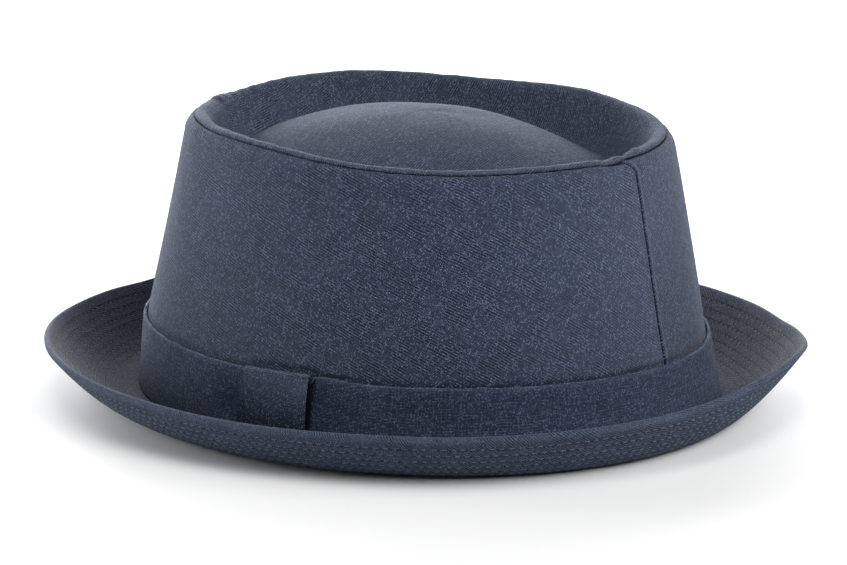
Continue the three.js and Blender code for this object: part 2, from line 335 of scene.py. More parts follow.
def makeLinen(name, look):
    material, w = newMaterial(name)
    cloth = w.add("ShaderNodeUVMap", {"uv_map": "cloth"}).outputs[0]

    # Threads wander a little from straight
    drift = w.noise(cloth, look["wanderScale"], 2.0).outputs["Color"]
    drift = w.vector("SCALE", w.vector("SUBTRACT", drift, (0.5, 0.5, 0.5)), scale=look["wander"])
    threads = w.vector("SCALE", w.vector("ADD", cloth, drift), scale=1 / look["pitch"])
    parts = w.add("ShaderNodeSeparateXYZ", None, {0: threads})
    across, along = parts.outputs[0], parts.outputs[1]
    warpNumber, weftNumber = w.math("ROUND", across), w.math("ROUND", along)

    # Each thread is thick and thin, and pale and dark, in turn along its length
    apart, slow = look["threadsApart"], 1 / look["slubLength"]
    warpLine = w.math("MULTIPLY", warpNumber, apart)
    weftLine = w.math("MULTIPLY", weftNumber, apart)
    warpPlace = w.join(warpLine, w.math("MULTIPLY", along, slow))
    warpSlub = w.noise(warpPlace, *look["slubNoise"]).outputs[0]
    weftPlace = w.join(w.math("MULTIPLY", across, slow), weftLine, look["weftLayer"])
    weftSlub = w.noise(weftPlace, *look["slubNoise"]).outputs[0]
    warpSlub = w.range(warpSlub, *look["noiseRange"])
    weftSlub = w.range(weftSlub, *look["noiseRange"])

    # Plain weave: each thread goes over and under in turn
    warpWave = w.math("COSINE", w.math("MULTIPLY", across, np.pi))
    weftWave = w.math("COSINE", w.math("MULTIPLY", along, np.pi))
    warpOver = w.math("MULTIPLY", w.math("SIGN", warpWave), weftWave)
    weftOver = w.math("MULTIPLY", w.math("SIGN", weftWave), warpWave)
    warpHeight = w.math("ADD", w.math("ABSOLUTE", warpWave), warpOver)
    weftHeight = w.math("SUBTRACT", w.math("ABSOLUTE", weftWave), weftOver)
    warpHeight = w.math("ADD", warpHeight, w.math("MULTIPLY", warpSlub, look["slubHeight"]))
    weftHeight = w.math("ADD", weftHeight, w.math("MULTIPLY", weftSlub, look["slubHeight"]))
    softOver = look["softOver"]
    warpShows = w.range(w.math("SUBTRACT", warpHeight, weftHeight), -softOver, softOver)
    height = w.math("MAXIMUM", warpHeight, weftHeight)

    # Tone: the thread's own, and a chance of its own at each crossing
    warpTone = w.range(warpSlub, 0.1, 0.9, *look["warpTones"])
    weftTone = w.range(weftSlub, look["slubFrom"], 0.95, *look["weftTones"])

    # Here and there every second thread is darker
    places = w.noise(cloth, look["pairScale"], 1.0).outputs[0]
    pairs = w.range(places, *look["pairRange"], 0.0, look["pairs"])
    secondWarp = w.math("MULTIPLY", w.math("COSINE", w.math("MULTIPLY", warpNumber, np.pi)), pairs)
    secondWeft = w.math("MULTIPLY", w.math("COSINE", w.math("MULTIPLY", weftNumber, np.pi)), pairs)
    warpTone = w.math("MULTIPLY", warpTone, w.math("SUBTRACT", 1.0, secondWarp))
    weftTone = w.math("MULTIPLY", weftTone, w.math("SUBTRACT", 1.0, secondWeft))
    tone = w.mix(warpShows, weftTone, warpTone)
    crossing = {"Vector": w.join(warpNumber, weftNumber)}
    chance = w.add("ShaderNodeTexWhiteNoise", {"noise_dimensions": "3D"}, crossing)
    chance = w.math("POWER", chance.outputs[0], look["chancePower"])
    tone = w.math("MULTIPLY", tone, w.range(chance, 0.0, 1.0, *look["chances"]))

    # Darker between threads, which is painted shade, and in patches
    gapTop = look["threadTop"] + 0.5 * look["slubHeight"]
    tones = look["betweenThreads"], look["overThreads"]
    tone = w.math("MULTIPLY", tone, w.range(height, look["threadFoot"], gapTop, *tones))
    patches = w.noise(cloth, look["patchScale"], 3.0).outputs[0]
    tones = 1 - look["patches"], 1 + look["patches"]
    tone = w.math("MULTIPLY", tone, w.range(patches, *look["noiseRange"], *tones))

    # Painted shade: darker where the attribute for painted shade is above nothing, and painted
    # highlight, paler, where it is below
    paintedShade = w.add("ShaderNodeAttribute", {"attribute_name": "paintedShade"}).outputs["Fac"]
    shade = w.math("SUBTRACT", 1.0, w.math("MULTIPLY", paintedShade, look["paintedShadeDark"]))
    tone = w.math("MULTIPLY", tone, shade)
    own = look["colour"]
    # Painted sheen: a second colour where the other attribute is set, on the brim's upper face
    if "paintedSheenColour" in look:
        other = w.add("ShaderNodeAttribute", {"attribute_name": "other"}).outputs["Fac"]
        own = w.mixColour(other, own + (1.0,), look["paintedSheenColour"] + (1.0,))
    base = w.vector("SCALE", own, scale=tone)
    pale = w.range(tone, look["paleFrom"], look["paleTo"])
    colour = w.mixColour(w.math("MULTIPLY", pale, look["pale"]), base, look["paleColour"])

    bump = w.add(
        "ShaderNodeBump",
        None,
        {"Strength": look["bump"], "Distance": look["bumpDepth"] * toMetres, "Height": height},
    )
    w.shine(
        {
            "Base Color": colour,
            "Normal": bump.outputs[0],
            "Roughness": look["roughness"],
            "Specular IOR Level": look["gloss"],
            "Sheen Weight": look["sheen"],
            "Sheen Roughness": look["sheenRoughness"],
            "Sheen Tint": look["sheenColour"],
        }
    )
    return material


linenLook = {
    "pitch": 0.43,
    "wander": 1.4,
    "wanderScale": 0.09,
    "threadsApart": 5.31,
    "weftLayer": 8.4,
    "slubNoise": (1.0, 2.0, 0.6),
    "noiseRange": (0.25, 0.75),
    "slubLength": 16.0,
    "slubHeight": 0.45,
    "softOver": 0.4,
    "warpTones": (0.92, 1.1),
    "weftTones": (0.97, 1.28),
    "slubFrom": 0.45,
    "pairScale": 0.12,
    "pairRange": (0.38, 0.62),
    "pairs": 0.4,
    "chancePower": 8.0,
    "chances": (0.85, 4.6),
    "threadFoot": 0.2,
    "threadTop": 1.9,
    "betweenThreads": 0.0,
    "overThreads": 2.35,
    "patchScale": 0.035,
    "patches": 0.04,
    "paintedShadeDark": 0.96,
    "colour": (0.0115, 0.0195, 0.0402),
    "pale": 0.6,
    "paleFrom": 0.8,
    "paleTo": 3.2,
    "paleColour": (0.125, 0.148, 0.2, 1.0),
    "bump": 1.0,
    "bumpDepth": 0.15,
    "roughness": 0.92,
    "gloss": 0.1,
    "sheen": 0.2,
    "sheenRoughness": 0.5,
    "sheenColour": (0.76, 0.83, 1.0, 1.0),
}

# Band and tab: sizes, and the band's top edge

band = {
    "steps": 480,
    "thickness": 1.3,
    "rows": 26,
    "pressedFrom": -7.9,
    "pressedTo": 8.4,
    "pressedStep": 1.0,
    "pressedDepth": 1.5,
    "slack": 0.16,
    "topUneven": 0.10,
    "topRound": 0.5,
    "underTab": {"rear": (14.6, 15.6), "top": (24.0, 26.0)},
    "dent": {"from": -17.5, "at": 6, "lean": 0.57, "soft": (1.0, 4.0), "end": (-9.2, -8.0)},
    "dentTop": (16.5, 21.5),
    "dentDark": 0.5,
    "topPale": {"from": 1.6, "full": 0.6, "pale": 0.3},
    "look": {
        "colour": (0.0084, 0.0165, 0.0375),
        "sheen": 0.08,
        "pairs": 0.12,
        "chances": (0.85, 3.6),
    },
}

tab = {
    "front": {"foot": -7.4, "top": -10.0},
    "rear": {"foot": 15.1, "top": 15.0, "bow": 0.5},
    "top": {"front": 25.9, "rear": 26.4},
    "lift": 3.0,
    "liftCurve": 2.2,
    "footLift": 0.55,
    "thickness": 1.1,
    "bend": 0.75,
    "lip": 0.5,
    "lipColumns": 4,
    "width": 24.0,
    "columns": 44,
    "rows": 40,
    "foldRows": 9,
    "look": {
        "colour": (0.0088, 0.0164, 0.0352),
        "wander": 0.6,
        "sheen": 0.07,
        "pairs": 0.15,
    },
    "shadeRange": (0.1, 0.85),
    "paleTop": 0.4,
    "darkFoot": 0.6,
}


def bandTopAt(angle):
    away = (angle + 180) % 360 - 180
    entering = smoothStep(away, band["pressedFrom"], band["pressedFrom"] + band["pressedStep"])
    leaving = 1 - smoothStep(away, band["pressedTo"] - band["pressedStep"], band["pressedTo"])
    plain = hat["bandTopHeight"] + wavesAt(bandTopWaves, angle) + dentsAt(bandTopDents, angle)
    return plain - band["pressedDepth"] * entering * leaving


# Crown's side

side = {
    "step": 0.75,
    "seamStep": 0.12,
    "seamAngle": 85.5,
    "seamFrom": 76.0,
    "seamTo": 88.5,
    "hookWidth": 8.0,
    "hookHeight": 6.5,
    "grooveDepth": 0.65,
    "grooveHalfWidth": 0.36,
    "ridgeRise": 0.28,
    "leftRidge": 0.3,
    "ridgeAway": 1.2,
    "ridgeHalfWidth": 0.7,
    "rowsOutside": 64,
    "rowsTurning": 22,
    "rowsInside": 24,
    "edgeRows": 5,
    "edgeRound": 0.35,
    "flatAngle": 76.0,
    "flatRadius": 360.0,
    "bandLine": {"over": 0.45, "spread": 0.7, "dark": 0.85},
    "tabLine": {"over": 0.95, "spread": 0.8, "dark": 0.85},
    "slowRise": 0.28,
    "gatherRise": 0.10,
    "seamHalfWidth": 0.42,
    "topDark": 0.6,
    "topSpread": 0.6,
    "ridgePale": 0.3,
    "behindSeam": {"across": (0.6, 3.0), "fades": (24, 40), "dark": 0.05},
    "behindSeamLow": {"heights": (40, 75), "dark": 0.17},
    "look": {},
}


def crestPoint(angle, outward=0.0, drop=0.0):
    height = hat["crestHeight"] + wavesAt(crestWaves, angle) + dentsAt(crestDents, angle)
    scale = 1 + wavesAt(crestPlanWaves, angle)
    reach = outward + dentsAt(crestReaches, angle)
    return ovalPoint(hat["crest"], angle, height - drop, reach, scale)


def sideRows(angle):
    crest = crestPoint(angle)
    scale = 1 + wavesAt(crestPlanWaves, angle)
    reach = dentsAt(crestReaches, angle) * hat["shoulderReach"]
    shoulder = ovalPoint(hat["shoulder"], angle, crest[..., 2] - 7.0, reach, scale)
    bandTop = ovalPoint(hat["bandTop"], angle, hat["bandTopHeight"])
    foot = ovalPoint(hat["foot"], angle, hat["footHeight"])
    rows = [foot, blendPoints(foot, bandTop, 0.5), bandTop]
    rows += [blendPoints(bandTop, shoulder, share) for share in (0.2, 0.4, 0.6, 0.8, 0.93)]
    for share, drop in ((1.0, 7.0), (0.9, 4.6), (0.68, 2.7), (0.43, 1.5), (0.33, 1.5)):
        row = blendPoints(crest, shoulder, share)
        row[..., 2] = crest[..., 2] - drop
        rows.append(row)
    return np.array(rows)


# The crown and its band give a little beside the tab: pressed in, then lifted
softDents = [
    {"at": -9.5, "lean": 0.12, "spread": 2.6, "height": 13, "tall": 7.5, "rise": -1.5},
    {"at": -19, "lean": 0, "spread": 5.0, "height": 15, "tall": 9.0, "rise": 0.5},
]
leansFrom = 14


def softDent(angle, height):
    away = (angle + 180) % 360 - 180
    total = 0.0
    for dent in softDents:
        aside = (away - dent["at"] + (height - leansFrom) * dent["lean"]) / dent["spread"]
        above = (height - dent["height"]) / dent["tall"]
        total = total + dent["rise"] * np.exp(-(aside**2) - above**2)
    return total


def seamAway(x, below):
    # How far a point is from the seam line, which hooks over at its top, and on which side
    turn = np.linspace(0, np.pi / 2, 60)
    hookX = -side["hookWidth"] * (1 - np.cos(turn))
    hookBelow = side["hookHeight"] * (1 - np.sin(turn))
    lineX = np.concatenate([[0, 0, 0], hookX, [-side["hookWidth"] - 2]])
    lineBelow = np.concatenate([[200, 90, side["hookHeight"] + 0.1], hookBelow, [0]])
    nearest = np.full(x.shape, 1e9)
    for first in range(len(lineX) - 1):
        ax, ay = lineX[first], lineBelow[first]
        bx, by = lineX[first + 1] - ax, lineBelow[first + 1] - ay
        length = max(bx * bx + by * by, 1e-9)
        t = np.clip(((x - ax) * bx + (below - ay) * by) / length, 0, 1)
        nearest = np.minimum(nearest, np.hypot(x - ax - t * bx, below - ay - t * by))
    seamX = np.interp(below, lineBelow[::-1], lineX[::-1])
    return nearest * np.where(x >= seamX, 1, -1)


def makeSide():
    plain = np.arange(side["seamTo"], side["seamFrom"] + 360, side["step"])
    dense = np.arange(side["seamFrom"] + 360, side["seamTo"] + 360 - 1e-6, side["seamStep"])
    angle = np.concatenate([plain, dense]) % 360
    control = sideRows(angle)
    knots = chordKnots(control)
    straight = np.linspace(0, knots[-6], side["rowsOutside"])
    turning = np.linspace(knots[-6], knots[-1], side["rowsTurning"])
    places = np.concatenate([straight, turning[1:]])
    outer = throughRows(control, knots, places)
    lengths = lengthsAlong(outer)
    below = lengths[-1] - lengths
    height = outer[..., 2]

    # The seam, in millimetres round the crown from its straight part
    radius = np.hypot(outer[..., 0], outer[..., 1] - 2.0)
    x = np.radians((angle - side["seamAngle"] + 180) % 360 - 180) * radius
    away = seamAway(x, below)
    normals = sheetNormals(outer)
    groove = bell(away, side["grooveHalfWidth"])
    right = bell(away, side["ridgeHalfWidth"], side["ridgeAway"])
    left = bell(away, side["ridgeHalfWidth"], -side["ridgeAway"])
    ridges = right + side["leftRidge"] * left
    shift = -side["grooveDepth"] * groove + side["ridgeRise"] * ridges

    # Soft cloth: slow unevenness, small gathers under the rim, and the dent beside the tab
    slow = unevenOver(angle, height, 11, 14, 9, 90.0)
    middle = smoothStep(height, 22, 40) * smoothStep(below, 0, 14)
    gathers = unevenAt(angle, 12, 40, 95) * bell(below, 4.0, 2.5)
    shift = shift + side["slowRise"] * slow * middle + side["gatherRise"] * gathers
    shift = shift + softDent(angle, height)
    faces = outer + normals * shift[..., None]
    faces[0, :, 2] = hat["footHeight"]

    inside = outer + normals * (softDent(angle, height) - hat["clothWall"])[..., None]
    inside[0, :, 2] = hat["footHeight"]
    pick = np.unique(np.linspace(0, len(outer) - 1, side["rowsInside"]).round().astype(int))
    inner = inside[pick]
    up = faces[-1] - faces[-3]
    up = up / np.linalg.norm(up, axis=-1, keepdims=True)
    edge = roundedEdge(faces[-1], inner[-1], up, side["edgeRound"], side["edgeRows"])
    rows = np.concatenate([faces, np.array(edge), inner[::-1]])

    # The side is cut as a piece of a ring, so its threads turn as they go round
    fromFront = (angle - side["seamAngle"]) % 360 - 180
    closing = np.concatenate([fromFront, fromFront[:1]])
    crossed = np.concatenate([x, x[:, :1]], axis=1)
    panel = np.broadcast_to(closing, crossed.shape).copy()
    steps = np.concatenate([below, below[:, :1]], axis=1)
    outerCloth = conePlaces(panel, steps)
    edgeCloth = np.repeat(outerCloth[-1:], side["edgeRows"], axis=0)
    innerCloth = outerCloth[pick][::-1]
    cloth = np.concatenate([outerCloth, edgeCloth, innerCloth])

    # Painted shade: the seam, the top edge, the strip behind the seam, over the band and the tab;
    # and a painted highlight on the ridge beside the seam
    dark = np.exp(-((away / side["seamHalfWidth"]) ** 4))
    dark = dark + side["topDark"] * bell(below, side["topSpread"]) - side["ridgePale"] * right
    strip, low = side["behindSeam"], side["behindSeamLow"]
    behindSeam = smoothStep(away, *strip["across"]) * (1 - smoothStep(x, *strip["fades"]))
    lower = low["dark"] * (1 - smoothStep(height, *low["heights"]))
    dark = dark + behindSeam * (strip["dark"] + lower)
    dark = dark + edgeLine(side["bandLine"], height - bandTopAt(angle))
    dark = dark + edgeLine(side["tabLine"], height - tabTopAt(outer[..., 1])) * (outer[..., 0] > 0)
    edgeDark = np.repeat(dark[-1:], side["edgeRows"], axis=0)
    paintedShade = np.concatenate([dark, edgeDark, np.zeros(inner.shape[:2])])
    material = makeLinen("linen_crown_side", {**linenLook, **side["look"]})
    paintedShade = np.clip(paintedShade, -1, 1)
    piece = makeCloth("crown_side_cloth", rows, cloth, paintedShade, material, ring=True)
    finishPiece(piece, "crown_side")


# A line of painted shade, or painted highlight where it is pale, at some way over an edge
def edgeLine(line, over):
    return line["dark"] * bell(over, line["spread"], line["over"])


# The tab's top edge, and far below the band outside the tab
def tabTopAt(y):
    across = (y - tab["front"]["top"]) / (tab["rear"]["top"] - tab["front"]["top"])
    top = tab["top"]["front"] + (tab["top"]["rear"] - tab["top"]["front"]) * across
    return np.where((across > 0) & (across < 1), top, -99.0)


def conePlaces(panel, below):
    turned = np.radians(panel * side["flatAngle"] / 360)
    radius = side["flatRadius"] + below
    return np.stack([radius * np.sin(turned), radius * np.cos(turned)], -1)


makeSide()

# Crown's tip

tip = {
    "steps": 480,
    "moatHeight": 76.6,
    "moatTilt": -2.0,
    "domeRise": 17.9,
    "domeRoundness": 2.22,
    "domeTopY": -3.75,
    "wallCurve": 1.7,
    "fillet": 3.0,
    "underFrom": 30,
    "roll": {"at": 5.0, "spread": 3.2},
    "wall": {"at": 17, "spread": 9.0},
    "domeFrom": (30, 55),
    "gathers": {"rise": 0.10, "least": 0.55},
    "lumps": {"rise": 0.12, "least": 0.6},
    "moreGathers": [(268, 20, 2.0), (88, 12, 1.6), (330, 14, 0.5)],
    "foldRise": 0.35,
    "slowRise": 0.22,
    "edgeLine": {"over": 0.6, "spread": 1.1, "dark": 0.8},
    "rollLine": {"over": 3.4, "spread": 1.5, "dark": -0.35},
    "valley": {"from": 0.2, "dark": 0.35},
    "look": {"colour": (0.022, 0.034, 0.059), "sheen": 0.07, "pale": 0.75},
}

# The rolled edge: outward of the crest line, and below it
rollRows = [
    (0.0, 1.8),
    (0.7, 1.72),
    (1.15, 1.45),
    (1.36, 1.02),
    (1.22, 0.58),
    (0.8, 0.24),
    (0.2, 0.05),
    (-0.5, 0.02),
    (-1.2, 0.12),
    (-1.9, 0.42),
    (-2.5, 0.95),
    (-3.0, 1.7),
    (-3.4, 2.6),
]


def lipWidthAt(angle):
    lengthwise = np.sin(np.radians(angle))
    end = np.where(lengthwise > 0, 1.15, 1.3)
    return 1 + (end - 1) * lengthwise**2


def smoothHigher(first, second, fillet):
    nearness = np.maximum(fillet - np.abs(first - second), 0) / fillet
    return np.maximum(first, second) + nearness**2 * fillet / 4


def hollowPoint(angle, way, lip):
    turned = np.sin(np.radians(angle))
    moatFloor = tip["moatHeight"] + tip["moatTilt"] * turned
    moat = ovalPoint(hat["moat"], angle, moatFloor)
    top = np.array([0, tip["domeTopY"], tip["moatHeight"] + tip["domeRise"]])
    point = blendPoints(lip, moat, way) if way < 1 else blendPoints(moat, top, way - 1)
    outward = 2 - way
    dome = tip["moatHeight"] + tip["domeRise"] * (1 - outward ** tip["domeRoundness"])
    dome = dome + tip["moatTilt"] * turned * outward
    wall = moatFloor + (lip[..., 2] - moatFloor) * max(1 - way, 0) ** tip["wallCurve"]
    point[..., 2] = smoothHigher(wall, dome, tip["fillet"])
    return point


def makeTip():
    angle = np.arange(tip["steps"]) * 360 / tip["steps"]
    width = lipWidthAt(angle)
    control = []
    for outward, drop in rollRows:
        reach = outward * width if outward < 0 else np.full_like(width, outward)
        control.append(crestPoint(angle, reach, drop))
    control = np.array(control)
    lip = control[-1]
    ways = np.concatenate([np.linspace(0, 1.3, 34)[1:], np.linspace(1.3, 1.975, 20)[1:]])
    hollow = np.array([hollowPoint(angle, way, lip) for way in ways])
    onward = np.concatenate([control, hollow[:1]])
    knots = chordKnots(onward)
    roll = throughRows(onward, knots, np.linspace(0, knots[-2], 40))
    top = np.concatenate([roll, hollow])
    normals = sheetNormals(top)

    # Short gathers over the roll, most at the front and beside the seam, and slow unevenness
    lengths = lengthsAlong(top)
    overRoll = bell(lengths, tip["roll"]["spread"], tip["roll"]["at"])
    more = dentsAt(tip["moreGathers"], angle)
    gathers = unevenAt(angle, 21, 45, 110) * (tip["gathers"]["least"] + more)
    lumps = unevenAt(angle, 22, 14, 40) * (tip["lumps"]["least"] + more)
    wall = bell(lengths, tip["wall"]["spread"], tip["wall"]["at"])
    folds = unevenAt(angle, 23, 4, 15)
    dome = smoothStep(lengths, *tip["domeFrom"])
    slow = unevenOver(angle, lengths, 24, 12, 7, 60.0)
    shift = overRoll * (tip["gathers"]["rise"] * gathers + tip["lumps"]["rise"] * lumps)
    shift = shift + tip["foldRise"] * wall * folds + tip["slowRise"] * dome * slow
    centre = np.linspace(1, 0, len(ways)) ** 0.5
    shift[-len(ways) :] *= np.minimum(centre * 2, 1)[:, None]
    outer = top + normals * shift[..., None]
    outer[0] = top[0]

    under = outer - sheetNormals(outer) * hat["clothWall"]
    start = tip["underFrom"]
    rows = np.concatenate([under[start:][::-1], outer])
    topPole = np.array([0, tip["domeTopY"], outer[-1, :, 2].mean() + 0.02])
    underPole = topPole - np.array([0, 0, hat["clothWall"]])

    # Flat places: the length of cloth from the dome's top, in each direction
    fromTop = lengthsAlong(outer[::-1])[::-1] + 1.5
    turned = np.radians(np.concatenate([angle, [360]]))
    fromTop = np.concatenate([fromTop, fromTop[:, :1]], axis=1)
    outerCloth = np.stack([fromTop * np.cos(turned), fromTop * np.sin(turned)], -1)
    cloth = np.concatenate([outerCloth[start:][::-1], outerCloth])
    # Painted shade: a dark line at the seam below the roll and in the valleys of the gathers, and a
    # painted highlight along the roll
    dark = edgeLine(tip["edgeLine"], lengths) + edgeLine(tip["rollLine"], lengths)
    valleys = np.clip(-gathers - tip["valley"]["from"], 0, 1)
    dark = dark + tip["valley"]["dark"] * overRoll * valleys
    paintedShade = np.concatenate([np.zeros(under[start:].shape[:2]), dark])
    material = makeLinen("linen_crown_tip", {**linenLook, **tip["look"]})
    poles = [(underPole, 0, True), (topPole, len(rows) - 1, False)]
    paintedShade = np.clip(paintedShade, -1, 1)
    piece = makeCloth("crown_tip_cloth", rows, cloth, paintedShade, material, poles=poles)
    finishPiece(piece, "crown_tip")


makeTip()

# Band


def crownFace(angle, height):
    foot = ovalPoint(hat["foot"], angle, hat["footHeight"])
    top = ovalPoint(hat["bandTop"], angle, hat["bandTopHeight"])
    share = (height - hat["footHeight"]) / (hat["bandTopHeight"] - hat["footHeight"])
    point = blendPoints(foot, top, np.asarray(share)[..., None])
    return point + outwardAt(angle) * softDent(angle, height)[..., None]


def makeBand():
    angle = np.arange(band["steps"]) * 360 / band["steps"]
    top = bandTopAt(angle) + band["topUneven"] * unevenAt(angle, 31, 20, 60)
    outerRows, innerRows = [], []
    for share in np.linspace(0, 1, band["rows"]):
        height = hat["footHeight"] + (top - band["topRound"] - hat["footHeight"]) * share
        loose = unevenOver(angle, height, 32, 12, 12, 26.0) * np.sin(np.pi * share)
        loose = band["slack"] * loose
        out = outwardAt(angle)
        innerRows.append(crownFace(angle, height) + out * hat["gap"])
        away = hat["gap"] + band["thickness"] + loose
        outerRows.append(crownFace(angle, height) + out * away[:, None])
    outer, inner = np.array(outerRows), np.array(innerRows)
    edge = roundedEdge(outer[-1], inner[-1], np.array([0, 0, 1.0]), band["topRound"], 5)
    rows = np.concatenate([outer, np.array(edge), inner[::-1]])
    halfway = outer[band["rows"] // 2]
    around = np.diff(np.concatenate([halfway, halfway[:1]]), axis=0)
    along = np.concatenate([[0], np.cumsum(np.linalg.norm(around, axis=-1))])
    up = np.concatenate([outer[..., 2], np.array(edge)[..., 2], inner[::-1][..., 2]])
    up = np.concatenate([up, up[:, :1]], axis=1)
    cloth = np.stack([np.broadcast_to(along, up.shape), up], -1)

    # Painted shade: dark below the tab, up to the slit beside its rear edge, and in the dent before
    # its front edge
    y, z = rows[..., 1], rows[..., 2]
    underTab, given = band["underTab"], band["dent"]
    below = smoothStep(y, tab["front"]["top"], 0) * (1 - smoothStep(y, *underTab["rear"]))
    below = below * (1 - smoothStep(z, *underTab["top"]))
    dentFrom = given["from"] + (z - given["at"]) * given["lean"]
    dent = smoothStep(y, dentFrom - given["soft"][0], dentFrom + given["soft"][1])
    dent = dent * (1 - smoothStep(y, *given["end"]))
    dent = band["dentDark"] * dent * (1 - smoothStep(z, *band["dentTop"]))
    dark = np.maximum(below, dent) * (rows[..., 0] > 0)

    # Painted highlight: paler along its top edge
    line, pale = bandTopAt(angle), band["topPale"]
    nearTop = smoothStep(z, line - pale["from"], line - pale["full"])
    dark = dark - pale["pale"] * nearTop * (1 - below)
    material = makeLinen("linen_band", {**linenLook, **band["look"]})
    piece = makeCloth("hat_band_cloth", rows, cloth, dark, material, ring=True)
    finishPiece(piece, "hat_band")


# Tab

def edgeSpacing(length, count, edge, both=True):
    # Places along a length, closer together within the rounded edges
    near = edge * (1 - np.cos(np.linspace(0, np.pi / 2, 5)))
    end = length - edge if both else length
    middle = np.linspace(edge, end, count)[1 : -1 if both else None]
    far = length - near[::-1] if both else []
    return np.concatenate([near, middle, far]) / length


# A point of the tab's middle surface: across from its front edge, and up to where it bends over
def tabPoint(across, up):
    front = tab["front"]["foot"] + (tab["front"]["top"] - tab["front"]["foot"]) * up
    rear = tab["rear"]["foot"] + (tab["rear"]["top"] - tab["rear"]["foot"]) * up
    rear = rear + tab["rear"]["bow"] * np.sin(np.pi * up)
    y = front + (rear - front) * across
    angle = np.degrees(np.arcsin((y - hat["foot"]["centreY"]) / hat["foot"]["halfLength"]))
    foot = hat["footHeight"] + hat["gap"]
    top = tab["top"]["front"] + (tab["top"]["rear"] - tab["top"]["front"]) * across
    top = top - tab["thickness"] / 2 - tab["bend"]
    height = foot + (top - foot) * up
    arch = np.sin(np.pi * up)
    bow = np.where(up < 0.5, tab["footLift"] + (1 - tab["footLift"]) * arch, arch)
    lift = tab["lift"] * across ** tab["liftCurve"] * bow
    out = 2 * hat["gap"] + band["thickness"] + tab["thickness"] / 2 + lift
    plain = crownFace(angle, height) - outwardAt(angle) * softDent(angle, height)[..., None]
    return plain + outwardAt(angle) * out[..., None]


def makeTab():
    half = tab["thickness"] / 2
    across = edgeSpacing(tab["width"], tab["columns"], half)
    ups = edgeSpacing(tab["top"]["front"], tab["rows"], half, both=False)
    rows = [tabPoint(across, np.full_like(across, up)) for up in ups]

    # The cloth bends over the band's top edge and ends in a short lip
    straight, inward = rows[-1], -outwardAt(np.zeros_like(across))
    for turn in np.linspace(0, np.pi / 2, tab["foldRows"])[1:]:
        row = straight + inward * (tab["bend"] * (1 - np.cos(turn)))
        row[..., 2] += tab["bend"] * np.sin(turn)
        rows.append(row)
    bent = rows[-1]
    # The lip is shorter than the rounded edge that it asks for, so its rows fold back
    for reach in edgeSpacing(tab["lip"], tab["lipColumns"], half)[1:]:
        rows.append(bent + inward * tab["lip"] * reach)
    rows = np.array(rows)

    # Thick in the middle and round at its edges
    normals = sheetNormals(rows, closed=False)
    lengths = lengthsAlong(rows)
    fromSide = np.minimum(across, 1 - across) * tab["width"]
    fromEnd = np.minimum(lengths, lengths[-1] - lengths)
    near = np.minimum(np.minimum(fromSide, half)[None, :], np.minimum(fromEnd, half))
    thick = np.sqrt(np.maximum(half**2 - (half - near) ** 2, 0))[..., None]
    outer, inner = rows + normals * thick, rows - normals * thick
    flat = np.stack([np.broadcast_to(across * tab["width"], lengths.shape), lengths], -1)

    # Painted highlight at its top, painted shade towards its foot
    share = smoothStep(lengths / lengths[-1], *tab["shadeRange"])
    shade = tab["darkFoot"] * (1 - share) - tab["paleTop"] * share
    piece = joinPlate("band_tab_cloth", outer, inner, flat, shade, tab["look"])
    finishPiece(piece, "band_tab")


def joinPlate(name, outer, inner, flat, shade, look):
    count, across = outer.shape[:2]
    here = np.arange(count * across).reshape(count, across)
    quads = np.stack([here[:-1, :-1], here[:-1, 1:], here[1:, 1:], here[1:, :-1]], -1)
    quads = quads.reshape(-1, 4)
    faces = np.concatenate([quads, quads[:, ::-1] + here.size])
    mesh = bpy.data.meshes.new(name)
    points = np.concatenate([outer.reshape(-1, 3), inner.reshape(-1, 3)]) * toMetres
    mesh.from_pydata(points.tolist(), [], faces.tolist())
    places = np.concatenate([flat.reshape(-1, 2), flat.reshape(-1, 2)])
    layer = mesh.uv_layers.new(name="cloth")
    layer.uv.foreach_set("vector", places[faces.ravel()].astype(np.float32).ravel())
    # The inner face is painted shade, fully dark, so the hollow under the tab looks black
    dark = np.concatenate([shade.ravel(), np.full(here.size, 1.0)])
    writeAttribute(mesh, "paintedShade", dark.tolist())
    mergeClose(mesh)
    mesh.shade_smooth()
    mesh.materials.append(makeLinen("linen_tab", {**linenLook, **look}))
    return addPiece(name, mesh)


# Metres
mergeWithin = 0.00002


def mergeClose(mesh):
    work = bmesh.new()
    work.from_mesh(mesh)
    bmesh.ops.remove_doubles(work, verts=work.verts, dist=mergeWithin)
    work.to_mesh(mesh)
    work.free()


makeBand()
makeTab()

# Brim

brim = {
    "steps": 480,
    "thickness": 2.0,
    "height": 17.9,
    "flat": 7.7,
    "curve": 1.79,
    "edgeRound": 0.8,
    "firstStitches": 4.0,
    "stitchGap": 3.5,
    "stitchRows": 8,
    "grooveDepth": 0.24,
    "grooveHalfWidth": 0.5,
    "edgeRows": 7,
    "innerRows": 12,
    "puff": 0.05,
    "grooveDark": 0.35,
    "edgePale": -0.5,
    "edgePaleSpread": 0.9,
    "look": {
        "colour": (0.0068, 0.0138, 0.0305),
        # The upper face's colour is painted sheen, warmer than the under face
        "paintedSheenColour": (0.0145, 0.0185, 0.031),
        "sheen": 0.1,
        "chances": (0.85, 3.2),
    },
}
stitchAways = [brim["firstStitches"] + brim["stitchGap"] * row for row in range(brim["stitchRows"])]


